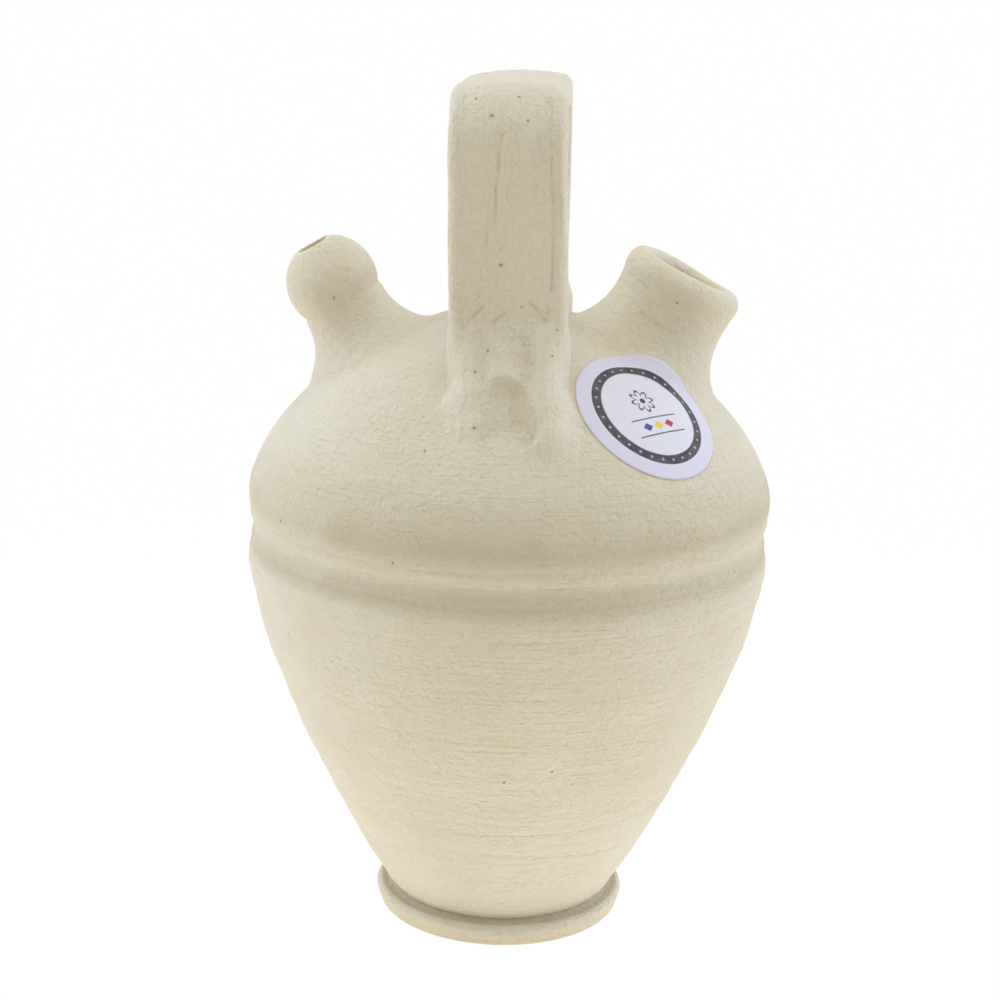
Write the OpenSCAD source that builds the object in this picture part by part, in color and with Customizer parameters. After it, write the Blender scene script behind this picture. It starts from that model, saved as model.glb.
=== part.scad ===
// Botijo: an unglazed clay water jug, thrown and hand-built from separate pieces of clay.
// Millimetres. +Z is up, and the origin is the middle of the ring that the jug stands on.
// The drinking spout leans towards -X, the filling mouth towards +X, and the handle runs front to back.

/* [Body] */
// Widest diameter of the pot, at its belly
belly_d = 172; // [160:1:190]
// Height at which the lower wall reaches its widest
belly_z = 127; // [115:1:140]
// Height of the upright band between the belly and the dome
band_h = 19; // [17:1:30]
// Rise of the dome above the band
dome_rise = 62; // [54:1:72]
// Thickness of the thrown wall
wall = 6; // [4:0.5:8]
// Thickness of the pot's floor
floor_t = 8; // [6:0.5:12]
// Depth of the groove at the joint of the two halves
groove_depth = 1.9; // [1:0.1:2.5]
// Height of that groove
groove_h = 13; // [9:1:15]

/* [Foot] */
// Outer diameter of the foot ring
foot_d = 84.4; // [80:0.2:92]
// Height of the foot ring
foot_h = 8.7; // [7.5:0.1:12]
// Width of the ring, from its outside to its bore
foot_w = 11; // [9:0.5:14]
// Step from the ring's outside in to the pot's wall above it
foot_step = 4.7; // [3:0.1:6]
// Gap between the pot's floor and the ground
foot_lift = 2; // [1:0.5:4]
// Rounding of the ring's outer edges
foot_edge_r = 3; // [1:0.1:3.5]

/* [Drinking spout] */
// Distance from the pot's axis to where the spout leaves the dome
spout_x = 47.9; // [45:0.1:51]
// Lean of the spout away from upright
spout_tilt = 29; // [22:1:36]
// Length from the dome to the middle of the bulb
spout_len = 23.7; // [21:0.1:32]
// Diameter of the bulb
bulb_d = 30; // [28:0.2:34]
// Diameter of the neck under the bulb
spout_neck_d = 27.7; // [24:0.1:27.9]
// Radius of the curve by which the neck spreads onto the dome
spout_flare_r = 21; // [18:1:26]
// Diameter of the hole that pours
pour_hole_d = 7; // [4:0.5:9]
// Diameter of the dished lip round that hole
pour_lip_d = 10; // [9.5:0.5:13]
// Diameter of the passage inside the neck
spout_bore_d = 15; // [12:0.5:17]

/* [Filling mouth] */
// Distance from the pot's axis to where the mouth leaves the dome
mouth_x = 43.6; // [41:0.1:47]
// Lean of the mouth away from upright
mouth_tilt = 26; // [20:1:32]
// Length from the dome to the widest ring of the rim
mouth_len = 23.2; // [20:0.1:30]
// Outer diameter of the rolled rim
rim_d = 39.4; // [38:0.2:43]
// Height of the rim above its widest ring
rim_rise = 5.4; // [4.8:0.1:8]
// Diameter of the neck under the rim
mouth_neck_d = 37.4; // [34:0.2:37.8]
// Radius of the curve by which the neck spreads onto the dome
mouth_flare_r = 25; // [20:1:30]
// Diameter of the bore that the jug is filled through
mouth_bore_d = 22; // [18:0.5:25]
// Clearance round that bore of the hole pierced in the dome below it
pierced_clearance = 0.6; // [0.3:0.1:2]

/* [Handle] */
// Width of the strap
strap_w = 36; // [30:0.5:42]
// Thickness of the strap
strap_t = 12; // [10.5:0.5:14]
// Distance over the outsides of the two legs
handle_span = 100; // [92:1:110]
// Rise of the strap's top above the crown of the dome
handle_rise = 73; // [60:0.5:90]
// Outer radius of the two bends
bend_r = 20; // [16:1:28]
// Rounding of the strap's long edges
strap_edge_r = 5; // [2:0.5:5]
// Lean of the strap towards the drinking spout
strap_lean = 1.5; // [0:0.5:4]

/* [Handle roots] */
// Clay of a root beyond each long edge of the strap
root_side = 1.5; // [1:0.5:4]
// Height of a root above the dome, up the strap
root_rise = 15; // [12:0.5:22]
// Reach of a root beyond the strap, down the dome
root_reach = 15.5; // [12:0.5:20]
// Radius of the rounded edges of a root
root_r = 8; // [7:0.5:9]
// Width of the thumb's hollow down the middle of a root
thumb_w = 13; // [9:0.5:16]
// Depth of that hollow
thumb_depth = 3; // [1.5:0.5:4]

/* [Label] */
// Diameter of the round paper label
label_d = 48.5; // [40:0.5:54]
// Thickness of the label
label_t = 0.3; // [0.2:0.05:0.5]
// Bearing of the label, from +X towards -Y
label_bearing = 44.5; // [42:0.5:50]
// Distance from the pot's axis to the label's middle
label_r = 61.7; // [58:0.1:68]
// Lean of the label away from lying flat
label_lean = 41; // [35:1:50]

/* [Hidden] */

clay = [0.91, 0.88, 0.80];
paper = [0.93, 0.92, 0.96];

// Shape of the thrown outline
taper_power = 1.48;     // bow of the lower wall between foot and belly
dome_power_r = 1.7;     // fullness of the dome outwards
dome_power_z = 1.63;    // fullness of the dome upwards
groove_place = 0.58;    // height of the groove in the band, as a share of the band
flare_angle = 56;       // steepest part of a neck's spread, from the neck's own axis
shelf_fall = 0.35;      // fall of the foot's shelf towards its edge, as a share of the shelf's width
edge_share = 0.49;      // most that the rounding of a foot's edge may take of the foot's height
neck_under_bulb = 0.46; // spout's narrowest ring below the middle of the bulb, in bulb radii
throat_over_bulb = 0.45; // end of the passage above the middle of the bulb, in bulb radii
bulb_join = 0.6;        // step from the spout's narrowest ring out to the start of the bulb
neck_under_rim = 1.4;   // mouth's narrowest ring below the rim's widest, in rises of the rim
root_sink = 0.2;        // depth of a root's round corners in the dome, in their radii
toe_sink = 0.25;        // the same at the root's toe
toe_pull = 0.8;         // middle of a root's toe in from its tip, in its radii
cheek_share = 0.25;     // where a root is fullest, as a share of its reach
thumb_out = 0.85;       // path of the thumb outside the middles of the root's corners, in radii
thumb_up = 0.8;         // the same upwards, at the top of the path
thumb_end_up = 0.5;     // the same upwards, at the toe

// Steps of the drawn outlines
lower_steps = 18;
band_steps = 16;
dome_steps = 20;
arc_steps = 10;
round_fn = 96;
ball_fn = 28;
cut_over = 1;           // how far a cutting shape runs past what it cuts

// Sizes that follow from the ones above
belly_r = belly_d / 2;
foot_r = foot_d / 2;
foot_bore_r = foot_r - foot_w;
sole_r = foot_r - foot_step;
sole_z = foot_h;
floor_z = foot_lift + floor_t;
shoulder_z = belly_z + band_h;
groove_z = belly_z + band_h * groove_place;
crown_z = shoulder_z + dome_rise;
handle_top = crown_z + handle_rise;
leg_y = handle_span / 2 - strap_t / 2;

function reversed(points) = [for (i = [len(points) - 1 : -1 : 0]) points[i]];

// Points of an arc, with its own half width and half height
function arc(centre, half_w, half_h, from, to) = [for (i = [0 : arc_steps])
    let (a = from + (to - from) * i / arc_steps)
    [centre[0] + half_w * cos(a), centre[1] + half_h * sin(a)]];

// Radius of the pot's wall at a share of the way down from the belly to the sole, and its slope there
function lower_r(down) = belly_r - (belly_r - sole_r) * pow(down, taper_power);
function lower_slope(down) =
    atan((belly_r - sole_r) / (belly_z - sole_z) * taper_power * pow(down, taper_power - 1));

// Height of the dome's outside at a distance from the axis
function dome_z(r) =
    shoulder_z + dome_rise * pow(1 - pow(r / belly_r, dome_power_r), 1 / dome_power_z);

// How deep the joint's groove is at a height
function groove_cut(z) = abs(z - groove_z) > groove_h / 2
    ? 0 : groove_depth * pow(cos(180 * (z - groove_z) / groove_h), 2);

// Outlines as [radius, height] points, from the bottom up
function lower_line(inset) = [for (i = [0 : lower_steps])
    let (down = 1 - i / lower_steps,
         slope = lower_slope(down),
         z = belly_z - (belly_z - sole_z) * down)
    [lower_r(down) - inset * cos(slope), z + inset * sin(slope)]];
function band_line(proud) = [for (i = [1 : band_steps])
    let (z = belly_z + band_h * i / band_steps)
    [belly_r + proud - groove_cut(z), z]];
function dome_line(r, rise) = [for (i = [1 : dome_steps])
    let (a = 90 * i / dome_steps)
    [r * pow(cos(a), 2 / dome_power_r), shoulder_z + rise * pow(sin(a), 2 / dome_power_z)]];

// The pot as if it were solid, and stood proud by an even skin
module pot_solid(proud = 0) {
    outline = concat(lower_line(-proud), band_line(proud),
                     dome_line(belly_r + proud, dome_rise + proud));
    rotate_extrude($fn = round_fn)
        polygon(concat([[0, outline[0][1]]], outline));
}

// The space inside the pot
module pot_hollow() {
    side = [for (p = lower_line(wall)) if (p[1] > floor_z + wall / 2) p];
    corner = side[0][0] - wall / 4;
    rotate_extrude($fn = round_fn)
        polygon(concat([[0, floor_z], [corner - wall / 2, floor_z], [corner, floor_z + wall / 4]], side,
                       [[belly_r - wall, shoulder_z]], dome_line(belly_r - wall, dome_rise - wall)));
}

// Everything below the joint of the two halves
module below_joint() {
    translate([0, 0, -cut_over])
        cylinder(r = belly_r + cut_over, h = groove_z + cut_over, $fn = round_fn);
}

// Puts a neck on the dome, at a distance from the pot's axis, leaning away from it
module on_dome(x, tilt) {
    translate([x, 0, dome_z(abs(x))])
        rotate([0, tilt, 0])
            children();
}

module at_spout() {
    on_dome(-spout_x, -spout_tilt) children();
}

module at_mouth() {
    on_dome(mouth_x, mouth_tilt) children();
}

// A hole through the dome's wall, under a neck
module dome_hole(d) {
    cylinder(d = d, h = 4 * wall, center = true, $fn = round_fn);
}

module lower_body() {
    color(clay) difference() {
        union() {
            intersection() {
                pot_solid();
                below_joint();
            }
            translate([0, 0, foot_lift])
                cylinder(r = foot_bore_r, h = sole_z - foot_lift + cut_over, $fn = round_fn);
        }
        pot_hollow();
    }
}

module upper_body() {
    color(clay) difference() {
        pot_solid();
        pot_hollow();
        below_joint();
        at_spout() dome_hole(spout_bore_d);
        at_mouth() dome_hole(mouth_bore_d + 2 * pierced_clearance);
    }
}

module foot_ring() {
    shelf_z = foot_h - foot_step * shelf_fall;
    edge = min(foot_edge_r, shelf_z * edge_share);
    color(clay) rotate_extrude($fn = round_fn)
        polygon(concat([[foot_bore_r, 0]],
                       arc([foot_r - edge, edge], edge, edge, -90, 0),
                       arc([foot_r - edge, shelf_z - edge], edge, edge, 0, 65),
                       [[sole_r, foot_h], [foot_bore_r, foot_h]]));
}

// Outline of a neck below its narrowest ring: an arc, then a cone that runs into the dome
function flare_line(neck_r, neck_z, flare_r) =
    let (end_r = neck_r + flare_r * (1 - cos(flare_angle)),
         end_z = neck_z - flare_r * sin(flare_angle),
         root_r = end_r + flare_r,
         root_z = end_z - flare_r / tan(flare_angle))
    concat([[root_r, root_z]],
           reversed([for (i = [0 : arc_steps])
               let (a = flare_angle * i / arc_steps)
               [neck_r + flare_r * (1 - cos(a)), neck_z - flare_r * sin(a)]]));

// Drinking spout: a spreading neck that ends in a bulb with a small hole
bulb_r = bulb_d / 2;
bulb_start = -acos(min(1, (spout_neck_d / 2 + bulb_join) / bulb_r));
bulb_end = 90 - asin(pour_lip_d / bulb_d);
spout_neck_z = spout_len - bulb_r * neck_under_bulb;
spout_tip_z = spout_len + bulb_r * sin(bulb_end);
lip_depth = (pour_lip_d - pour_hole_d) / 2;
throat_z = spout_len + bulb_r * throat_over_bulb;

module pouring_spout() {
    outside = concat(flare_line(spout_neck_d / 2, spout_neck_z, spout_flare_r),
                     arc([0, spout_len], bulb_r, bulb_r, bulb_start, bulb_end));
    inside = [[pour_hole_d / 2, spout_tip_z - lip_depth], [pour_hole_d / 2, throat_z],
              [spout_bore_d / 2, spout_len], [spout_bore_d / 2, outside[0][1]]];
    color(clay) difference() {
        at_spout() rotate_extrude($fn = round_fn)
            polygon(concat(outside, inside));
        pot_solid();
    }
}

// Filling mouth: a spreading neck with a thick rolled rim
rim_r = rim_d / 2;
bore_r = mouth_bore_d / 2;
roll_w = (rim_r - bore_r) / 2;
mouth_neck_z = mouth_len - rim_rise * neck_under_rim;

// Outside of the mouth, stood proud by an even skin, with the rim's arc carried to a chosen angle
function mouth_line(proud, rim_end) = concat(
    flare_line(mouth_neck_d / 2 + proud, mouth_neck_z, mouth_flare_r - proud),
    arc([rim_r - roll_w, mouth_len], roll_w + proud, rim_rise + proud, -25, rim_end));

module mouth_solid(proud = 0) {
    outside = mouth_line(proud, 90);
    rotate_extrude($fn = round_fn)
        polygon(concat([[0, outside[0][1]]], outside, [[0, mouth_len + rim_rise + proud]]));
}

module filling_mouth() {
    outside = mouth_line(0, 180);
    color(clay) difference() {
        at_mouth() rotate_extrude($fn = round_fn)
            polygon(concat(outside, [[bore_r, outside[0][1]]]));
        pot_solid();
    }
}

// Section of the handle's strap, thickness along X and width along Y
module strap_section() {
    square([strap_t - 2 * strap_edge_r, strap_w], center = true);
    square([strap_t, strap_w - 2 * strap_edge_r], center = true);
    for (x = [-1, 1], y = [-1, 1])
        translate([x * (strap_t / 2 - strap_edge_r), y * (strap_w / 2 - strap_edge_r)])
            circle(r = strap_edge_r, $fn = ball_fn);
}

// Two upright legs, two bends and a level top, leaning as one from the crown of the dome
module strap_blank() {
    leg_top = handle_top - bend_r;
    bridge = handle_span - 2 * bend_r;
    translate([0, 0, crown_z]) rotate([0, -strap_lean, 0]) translate([0, 0, -crown_z]) {
        for (turn = [0, 180]) rotate([0, 0, turn]) {
            translate([0, -leg_y, shoulder_z])
                linear_extrude(height = leg_top - shoulder_z)
                    rotate(90) strap_section();
            translate([0, bend_r - handle_span / 2, leg_top])
                rotate([90, 0, 90])
                    rotate([0, 0, 90])
                        rotate_extrude(angle = 90, $fn = round_fn)
                            translate([bend_r - strap_t / 2, 0]) strap_section();
        }
        translate([0, bridge / 2, handle_top - strap_t / 2])
            rotate([90, 0, 0])
                linear_extrude(height = bridge)
                    rotate(90) strap_section();
    }
}

module handle_strap() {
    color(clay) difference() {
        strap_blank();
        pot_solid();
    }
}

// Handle root: clay pressed round the foot of a leg, with a tongue down the dome and a thumb's hollow
root_half = strap_w / 2 + root_side;
toe_y = -handle_span / 2 - root_reach + root_r * toe_pull;
toe_z = dome_z(-toe_y) - root_r * toe_sink;
cheek_y = -handle_span / 2 - root_reach * cheek_share;
cheek_z = dome_z(-cheek_y) - root_r * root_sink;
heel_y = -handle_span / 2 + strap_t;
collar_r = strap_t / 2 + root_side / 2;
collar_z = dome_z(handle_span / 2) + root_rise - collar_r;

module root_ball(x, y, z, r) {
    for (side = [-1, 1])
        translate([side * x, y, z])
            sphere(r = r, $fn = ball_fn);
}

module root_blank() {
    hull() {
        root_ball(root_half - collar_r, -leg_y, collar_z, collar_r);
        root_ball(root_half - root_r, cheek_y, cheek_z, root_r);
        root_ball(root_half - root_r, heel_y - root_r / 2, dome_z(-heel_y) - root_r * root_sink, root_r);
        root_ball(thumb_w / 2, toe_y, toe_z, root_r);
    }
}

// The thumb's hollow runs from below the collar down to the root's toe
module thumb_hollow() {
    top = [cheek_y - root_r * thumb_out, cheek_z + root_r * thumb_up];
    end = [toe_y - root_r * thumb_out, toe_z + root_r * thumb_end_up];
    run = end - top;
    lift = thumb_w / 2 - thumb_depth;
    away = atan2(-run[0], -run[1]);
    translate([0, top[0] - lift * cos(away), top[1] + lift * sin(away)]) {
        rotate([180 - away, 0, 0])
            cylinder(d = thumb_w, h = norm(run) + thumb_w, $fn = ball_fn);
        sphere(d = thumb_w, $fn = ball_fn);
    }
}

module root() {
    difference() {
        root_blank();
        thumb_hollow();
        strap_blank();
        pot_solid();
    }
}

module front_root() {
    color(clay) root();
}

module rear_root() {
    color(clay) difference() {
        mirror([0, 1, 0]) root_blank();
        mirror([0, 1, 0]) thumb_hollow();
        strap_blank();
        pot_solid();
    }
}

// Round paper label, pressed onto the dome and the foot of the mouth
module label() {
    color(paper) intersection() {
        rotate([0, 0, -label_bearing])
            translate([label_r, 0, dome_z(label_r)])
                rotate([0, label_lean, 0])
                    cylinder(d = label_d, h = label_d, center = true, $fn = round_fn);
        difference() {
            union() {
                pot_solid(label_t);
                at_mouth() mouth_solid(label_t);
            }
            pot_solid();
            at_mouth() mouth_solid();
        }
    }
}

lower_body();
upper_body();
foot_ring();
pouring_spout();
filling_mouth();
handle_strap();
front_root();
rear_root();
label();
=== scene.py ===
import math

import bpy
import numpy as np
from mathutils import Matrix, Vector


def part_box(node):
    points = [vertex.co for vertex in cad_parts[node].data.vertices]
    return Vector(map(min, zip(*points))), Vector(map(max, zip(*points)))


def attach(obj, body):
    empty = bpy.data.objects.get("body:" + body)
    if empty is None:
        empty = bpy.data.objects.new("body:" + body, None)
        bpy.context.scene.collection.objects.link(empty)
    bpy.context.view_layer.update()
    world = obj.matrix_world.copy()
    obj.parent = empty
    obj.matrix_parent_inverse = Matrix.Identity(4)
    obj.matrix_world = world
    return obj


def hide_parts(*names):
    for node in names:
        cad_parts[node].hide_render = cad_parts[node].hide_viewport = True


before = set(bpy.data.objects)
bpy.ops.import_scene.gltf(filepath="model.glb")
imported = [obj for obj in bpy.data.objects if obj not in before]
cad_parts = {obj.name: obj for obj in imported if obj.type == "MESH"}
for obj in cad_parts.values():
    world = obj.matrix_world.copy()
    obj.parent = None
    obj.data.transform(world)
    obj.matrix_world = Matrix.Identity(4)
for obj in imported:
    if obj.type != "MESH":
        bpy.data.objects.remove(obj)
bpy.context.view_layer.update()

# Shapes are worked out in millimetres and written to the meshes in metres.
MM = 0.001


def node_box(name):
    """Lowest and highest corner of a CAD node, in millimetres."""
    low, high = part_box(name)
    return np.array(low) / MM, np.array(high) / MM


# Sizes read from the frame
LOWER_LOW, LOWER_HIGH = node_box("lower_body")
UPPER_HIGH = node_box("upper_body")[1]
FOOT_HIGH = node_box("foot_ring")[1]
STRAP_HIGH = node_box("handle_strap")[1]
BELLY_R = UPPER_HIGH[1]
SEAM_Z = LOWER_HIGH[2]
CROWN_Z = UPPER_HIGH[2]
FOOT_R = FOOT_HIGH[0]
SOLE_Z = FOOT_HIGH[2]
FLOOR_UNDER_Z = LOWER_LOW[2]
STRAP_Y = STRAP_HIGH[1]
STRAP_TOP_Z = STRAP_HIGH[2] - 0.2

# The thrown outline, as in the CAD model
BELLY_Z = 127.0
SHOULDER_Z = 146.0
DOME_RISE = CROWN_Z - SHOULDER_Z
SOLE_R = FOOT_R - 4.7
FOOT_BORE_R = FOOT_R - 11.0
WALL = 6.0
FLOOR_IN_Z = 10.0
TAPER_POWER = 1.48
DOME_POWER_R = 1.7
DOME_POWER_Z = 1.63
GROOVE_Z = 138.0
GROOVE_HALF = 6.5
GROOVE_DEPTH = 1.9

# Drinking spout and filling mouth: place on the dome, lean, and profile along their own axes
SPOUT_X = -47.9
SPOUT_TILT = -29.0
SPOUT_LEN = 23.7
BULB_R = 15.0
SPOUT_NECK_R = 13.85
SPOUT_FLARE_R = 21.0
SPOUT_BORE_R = 7.5
SPOUT_REACH = 33         # radius about the spout's axis at which its spread is cut off
SPOUT_LIP = 0.4          # how round the rim of the pour hole is
SPOUT_STEEP = 0.45       # how much steeper the spread is on the side away from the strap
SPOUT_STEEP_FROM = 6.4   # distance from the neck's side at which it gets steeper
POUR_HOLE_R = 3.5
POUR_LIP_R = 5.0
POUR_FLAT = 1.3          # how much of the bulb's tip is cut off flat round the pour hole
POUR_PIT = 3.6           # depth of the hollow in that flat, from the same tip
POUR_TILT = 0.10         # how far the flat leans to the front
MOUTH_X = 43.6
MOUTH_TILT = 26.0
MOUTH_LEN = 23.2
RIM_R = 19.7
RIM_RISE = 5.4
MOUTH_NECK_R = 18.7
MOUTH_FLARE_R = 25.0
MOUTH_BORE_R = 11.0
MOUTH_REACH = 39
MOUTH_LIP = 1.2
FLARE_ANGLE = 60.0

# Handle
STRAP_W = 36.0
STRAP_T = 12.0
STRAP_EDGE_R = 2.4
STRAP_SQUARE_R = 2.8     # the same along the edge towards the mouth
BEND_R = 20.0
STRAP_LEAN = math.radians(1.5)
ROOT_SINK = 0.7          # how far a root ends under the strap's skin
ROOT_MIDDLE = (0, -52, 192)
ROOT_HALF = (27, 25, 22)     # half sizes of the box that the front root is cut off by
STRAP_CROWN = 2.4        # how much lower the strap's long edges are than its middle
REAR_LEG_SHIFT = 1.5     # how far the foot of the rear leg stands towards the drinking spout

# Label
LABEL_D = 48.5
LABEL_BEARING = 44.5
LABEL_R = 61.7
LABEL_LEAN = 41.0
LABEL_FRONT = 0.32       # how far the paper's face stands off the clay
LABEL_BACK = -0.05

# Camera, fitted to the photograph: distance and height in millimetres from the middle of the foot
CAMERA_DISTANCE = 680.0
CAMERA_HEIGHT = 320.0
CAMERA_SIDE = -2.97
CAMERA_YAW = math.radians(2.4)
CAMERA_PITCH = math.radians(14.67)
CAMERA_ROLL = math.radians(1.5)
CAMERA_LENS = 76.07
SENSOR = 36.0

# Even random field that every handmade unevenness is drawn from
FIELD = np.random.RandomState(11).rand(32, 32, 32) * 2 - 1


def noise(points, scale, squash=(1, 1, 1)):
    """Smooth noise from -1 to 1, with lumps about scale millimetres wide."""
    p = points / scale * np.array(squash) + 101.3
    cell = np.floor(p).astype(int)
    t = p - cell
    t = t * t * (3 - 2 * t)
    total = np.zeros(len(p))
    for dx in (0, 1):
        for dy in (0, 1):
            for dz in (0, 1):
                weight = (np.where(dx, t[:, 0], 1 - t[:, 0]) * np.where(dy, t[:, 1], 1 - t[:, 1])
                          * np.where(dz, t[:, 2], 1 - t[:, 2]))
                i, j, k = (cell[:, 0] + dx) % 32, (cell[:, 1] + dy) % 32, (cell[:, 2] + dz) % 32
                total += weight * FIELD[i, j, k]
    return total


def bell(x, middle, width):
    return np.exp(-((x - middle) / width) ** 2)


def soft_step(x, low, high):
    t = np.clip((x - low) / (high - low), 0, 1)
    return t * t * (3 - 2 * t)


def smooth_min(a, b, k):
    h = np.clip(0.5 + 0.5 * (b - a) / k, 0, 1)
    return b * (1 - h) + a * h - k * h * (1 - h)


def smooth_max(a, b, k):
    return -smooth_min(-a, -b, k)


# Handmade surface

# Rings left by the potter's fingers: height, how far they stand out, half width
FINGER_RINGS = [(139.8, 1.30, 1.8), (134.8, -0.70, 1.8), (131.0, -0.85, 3.0), (123.2, 0.30, 2.4),
                (112.0, -0.20, 4.0), (99.0, 0.22, 5.0), (84.0, -0.20, 5.0), (66.0, 0.20, 6.0),
                (44.0, 0.16, 3.0), (24.0, 0.22, 4.0), (151.0, 0.12, 3.0)]
# Lines cut by a tool while the pot turned: bearing and height at each end, depth, half width
TOOL_LINES = [(-181, 47.7, 181, 47.7, 0.26, 0.50), (-150, 31.6, -112, 33.8, 0.26, 0.45),
              (-96, 39.4, -38, 34.4, 0.26, 0.45), (-99, 119.8, -62, 121.9, 0.24, 0.45),
              (-181, 55.0, -20, 54.2, 0.10, 0.50), (20, 38.0, 150, 36.5, 0.22, 0.45),
              (60, 122.5, 120, 121.0, 0.20, 0.45), (-60, 67.0, -30, 67.4, 0.16, 0.40)]


def tool_lines(points):
    """Depth of the lines cut round the wall."""
    x, y, z = points.T
    bearing = np.degrees(np.arctan2(y, x))
    z = z + 0.35 * noise(np.column_stack([x, y, 0 * z]), 34)
    total = np.zeros(len(points))
    for start, start_z, end, end_z, depth, width in TOOL_LINES:
        share = (bearing - start) / (end - start)
        shown = soft_step(share, 0.0, 0.08) * (1 - soft_step(share, 0.92, 1.0))
        if end - start > 360:
            shown = 1.0
        total -= depth * shown * bell(z, start_z + (end_z - start_z) * share, width)
    return total


def handmade(points):
    """How far the clay stands out or in at each point, in millimetres."""
    x, y, z = points.T
    r = np.hypot(x, y)
    wobble = 0.30 * noise(points, 38) + 0.12 * noise(points, 13)
    thrown = np.zeros(len(points))
    sway = 0.9 * noise(np.column_stack([x, y, 0 * z]), 70)
    for height, depth, width in FINGER_RINGS:
        thrown += depth * bell(z + sway, height, width)
    climb = 0.010 * np.degrees(np.arctan2(y, x))
    line_points = np.column_stack([x * 0.05, y * 0.05, z + sway + climb])
    on_wall = 1 - soft_step(z, 150, 175)
    low_wall = 1 - soft_step(z, 118, 132)
    thrown += (0.35 + 0.65 * low_wall) * on_wall * (0.11 * noise(line_points, 2.6)
                                                    + 0.10 * noise(line_points + 40, 1.45))
    dome_lines = np.column_stack([x * 0.05, y * 0.05, r * 0.8 + z * 0.6])
    thrown += (1 - on_wall) * 0.04 * noise(dome_lines, 2.4)
    thrown += tool_lines(points)
    fine = 0.045 * noise(points, 2.3) + 0.030 * noise(points + 17, 1.2)
    return wobble + thrown + fine


# Smooth shapes as signed distances

def wall_radius(z):
    """Outer radius of the pot between the sole and the shoulder."""
    down = np.clip((BELLY_Z - z) / (BELLY_Z - SOLE_Z), 0, 1)
    r = BELLY_R - (BELLY_R - SOLE_R) * down ** TAPER_POWER
    groove = np.where(np.abs(z - GROOVE_Z) < GROOVE_HALF,
                      GROOVE_DEPTH * np.cos(np.pi * (z - GROOVE_Z) / GROOVE_HALF / 2) ** 2, 0)
    return r - groove


def dome(points):
    r = np.hypot(points[:, 0], points[:, 1])
    z = points[:, 2] - SHOULDER_Z
    up = np.maximum(z, 1e-6)
    level = (r / BELLY_R) ** DOME_POWER_R + (up / DOME_RISE) ** DOME_POWER_Z - 1
    slope_r = DOME_POWER_R / BELLY_R * (r / BELLY_R) ** (DOME_POWER_R - 1)
    slope_z = DOME_POWER_Z / DOME_RISE * (up / DOME_RISE) ** (DOME_POWER_Z - 1)
    return np.where(z > 0, level / np.maximum(np.hypot(slope_r, slope_z), 1e-3), r - BELLY_R)


def dome_z(r):
    return SHOULDER_Z + DOME_RISE * (1 - (r / BELLY_R) ** DOME_POWER_R) ** (1 / DOME_POWER_Z)


def polygon_distance(x, y, outline):
    """Signed distance to a closed outline, negative inside."""
    best = np.full(len(x), 1e9)
    inside = np.zeros(len(x), bool)
    for (ax, ay), (bx, by) in zip(outline, outline[1:] + outline[:1]):
        ex, ey = bx - ax, by - ay
        t = np.clip(((x - ax) * ex + (y - ay) * ey) / (ex * ex + ey * ey), 0, 1)
        best = np.minimum(best, np.hypot(x - ax - t * ex, y - ay - t * ey))
        if ay != by:
            crosses = ((ay > y) != (by > y)) & (x < ex * (y - ay) / ey + ax)
            inside ^= crosses
    return np.where(inside, -best, best)


def capsule(points, start, end, radius):
    a = np.array(start, float)
    run = np.array(end, float) - a
    t = np.clip((points - a) @ run / (run @ run), 0, 1)
    return np.linalg.norm(points - a - t[:, None] * run, axis=1) - radius


def arc(centre, half_w, half_h, start, end, steps=14):
    angles = np.radians(np.linspace(start, end, steps + 1))
    return [(centre[0] + half_w * math.cos(a), centre[1] + half_h * math.sin(a)) for a in angles]


def flare(neck_r, neck_z, flare_r):
    """A neck's spread onto the dome, from below the surface up to the narrowest ring."""
    top = [(neck_r + flare_r * (1 - math.cos(a)), neck_z - flare_r * math.sin(a))
           for a in np.radians(np.linspace(FLARE_ANGLE, 0, 13))]
    slant = math.radians(FLARE_ANGLE)
    return [(top[0][0] + flare_r, top[0][1] - flare_r / math.tan(slant))] + top


def neck_frame(x, tilt):
    """Foot of a neck on the dome, and the direction that it points in."""
    a = math.radians(tilt)
    return np.array([x, 0, dome_z(abs(x))]), np.array([math.sin(a), 0, math.cos(a)])


SPOUT_FOOT, SPOUT_AXIS = neck_frame(SPOUT_X, SPOUT_TILT)
MOUTH_FOOT, MOUTH_AXIS = neck_frame(MOUTH_X, MOUTH_TILT)


def along(points, foot, axis):
    """Distance from an axis, and height along it."""
    q = points - foot
    s = q @ axis
    return np.linalg.norm(q - s[:, None] * axis, axis=1), s


def spout_outline():
    neck_z = SPOUT_LEN - BULB_R * 0.46
    start = -math.degrees(math.acos((SPOUT_NECK_R - 0.5) / BULB_R))
    top = 90 - math.degrees(math.asin(POUR_HOLE_R * 0.5 / BULB_R))
    return (flare(SPOUT_NECK_R, neck_z - 1.6, SPOUT_FLARE_R)
            + arc((0, SPOUT_LEN), BULB_R, BULB_R, start, top))


def mouth_outline():
    roll = (RIM_R - MOUTH_BORE_R) / 2
    neck_z = MOUTH_LEN - RIM_RISE * 1.4
    return (flare(MOUTH_NECK_R, neck_z, MOUTH_FLARE_R)
            + arc((RIM_R - roll, MOUTH_LEN), roll, RIM_RISE, -25, 90))


def closed_to_axis(outline):
    return [(-1.0, outline[0][1])] + outline + [(-1.0, outline[-1][1])]


SPOUT_SHAPE = closed_to_axis(spout_outline())
MOUTH_SHAPE = closed_to_axis(mouth_outline())
SINK = 0.10          # how far the hidden skirt of a neck or root lies under the dome
BLEND = 1.6          # width of the smooth joint of a neck and the dome
SKIRT_START = 18.5   # distance from a neck's axis at which its spread starts to sink into the dome
SKIRT_SINK = 0.014   # how fast it sinks
UNDER_DOME = 2.0     # how far a neck or the strap goes on under the dome's skin


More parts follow.
